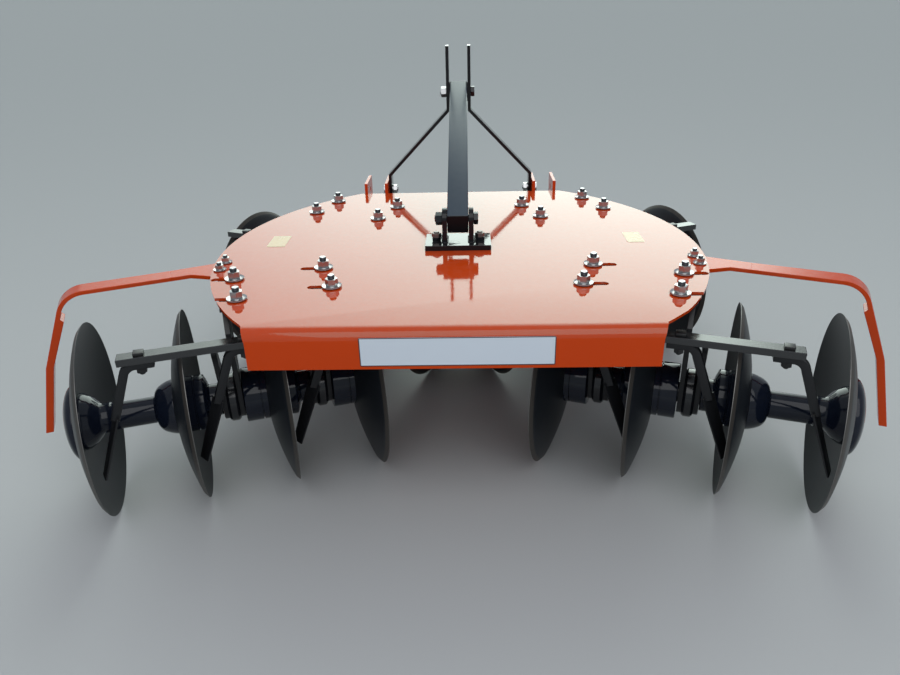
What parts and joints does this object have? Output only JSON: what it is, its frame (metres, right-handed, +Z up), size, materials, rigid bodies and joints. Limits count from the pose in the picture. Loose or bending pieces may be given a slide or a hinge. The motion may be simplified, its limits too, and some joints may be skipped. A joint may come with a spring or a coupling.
{
  "type": "disc harrow",
  "caption": "Mounted tandem disc harrow: orange deck plate with an A-frame hitch over front and rear gangs of dished discs, with scrapers, bearings and side guards.",
  "frame": {"origin": "on the ground under the middle of the machine, which stands on its discs", "axes": "+X to the right, +Y the way it travels, +Z up"},
  "size_m": [2.5734, 1.6199, 1.17],
  "materials": {
    "deck_paint": "gloss",
    "orange_paint": "gloss",
    "disc_steel": "satin",
    "blue_black_paint": "gloss",
    "axle_steel": "satin",
    "zinc": "satin",
    "slate_paint": "satin",
    "black_paint": "satin"
  },
  "bodies": {
    "frame": {"deck": "deck_paint", "mast_base": "black_paint", "mast_strut": "slate_paint", "strut_bolts": "zinc", "a_bar_left": "black_paint", "a_bar_right": "black_paint", "hitch_bracket_left": "orange_paint", "hitch_bracket_right": "orange_paint", "hitch_bolt_left": "black_paint", "hitch_bolt_right": "black_paint", "guard_left": "orange_paint", "guard_right": "orange_paint", "deck_bolts": "zinc", "front_hangers_left": "black_paint", "front_hangers_right": "black_paint", "front_bearings_left": "blue_black_paint", "front_bearings_right": "blue_black_paint", "front_beam_left": "black_paint", "front_beam_right": "black_paint", "front_scrapers_left": "black_paint", "front_scrapers_right": "black_paint"},
    "front_gang_left": {"front_discs_left": "disc_steel", "front_spools_left": "blue_black_paint", "front_axle_left": "axle_steel"},
    "rear_frame_left": {"rear_hangers_left": "black_paint", "rear_bearings_left": "blue_black_paint", "rear_beam_left": "black_paint", "rear_scrapers_left": "black_paint", "rear_bolts_left": "zinc"},
    "rear_gang_left": {"rear_discs_left": "disc_steel", "rear_spools_left": "blue_black_paint", "rear_axle_left": "axle_steel"},
    "front_gang_right": {"front_discs_right": "disc_steel", "front_spools_right": "blue_black_paint", "front_axle_right": "axle_steel"},
    "rear_frame_right": {"rear_hangers_right": "black_paint", "rear_bearings_right": "blue_black_paint", "rear_beam_right": "black_paint", "rear_scrapers_right": "black_paint", "rear_bolts_right": "zinc"},
    "rear_gang_right": {"rear_discs_right": "disc_steel", "rear_spools_right": "blue_black_paint", "rear_axle_right": "axle_steel"}
  },
  "joints": [
    {"name": "front_gang_left_spin", "type": "hinge", "parent": "frame", "child": "front_gang_left", "pos_m": [-0.47714, 0.40655, 0.28], "axis": [-0.9304, 0.3665, 0], "continuous": true},
    {"name": "rear_gang_left_shift", "type": "slide", "parent": "frame", "child": "rear_frame_left", "axis": [-1, 0, 0], "range_m": [0, 0.055]},
    {"name": "rear_gang_left_spin", "type": "hinge", "parent": "rear_frame_left", "child": "rear_gang_left", "pos_m": [-0.65515, -0.42024, 0.28], "axis": [0.9483, 0.3173, 0], "continuous": true},
    {"name": "front_gang_right_spin", "type": "hinge", "parent": "frame", "child": "front_gang_right", "pos_m": [0.47714, 0.40655, 0.28], "axis": [0.9304, 0.3665, 0], "continuous": true},
    {"name": "rear_gang_right_shift", "type": "slide", "parent": "frame", "child": "rear_frame_right", "axis": [1, 0, 0], "range_m": [0, 0.055]},
    {"name": "rear_gang_right_spin", "type": "hinge", "parent": "rear_frame_right", "child": "rear_gang_right", "pos_m": [0.65515, -0.42024, 0.28], "axis": [-0.9483, 0.3173, 0], "continuous": true}
  ]
}
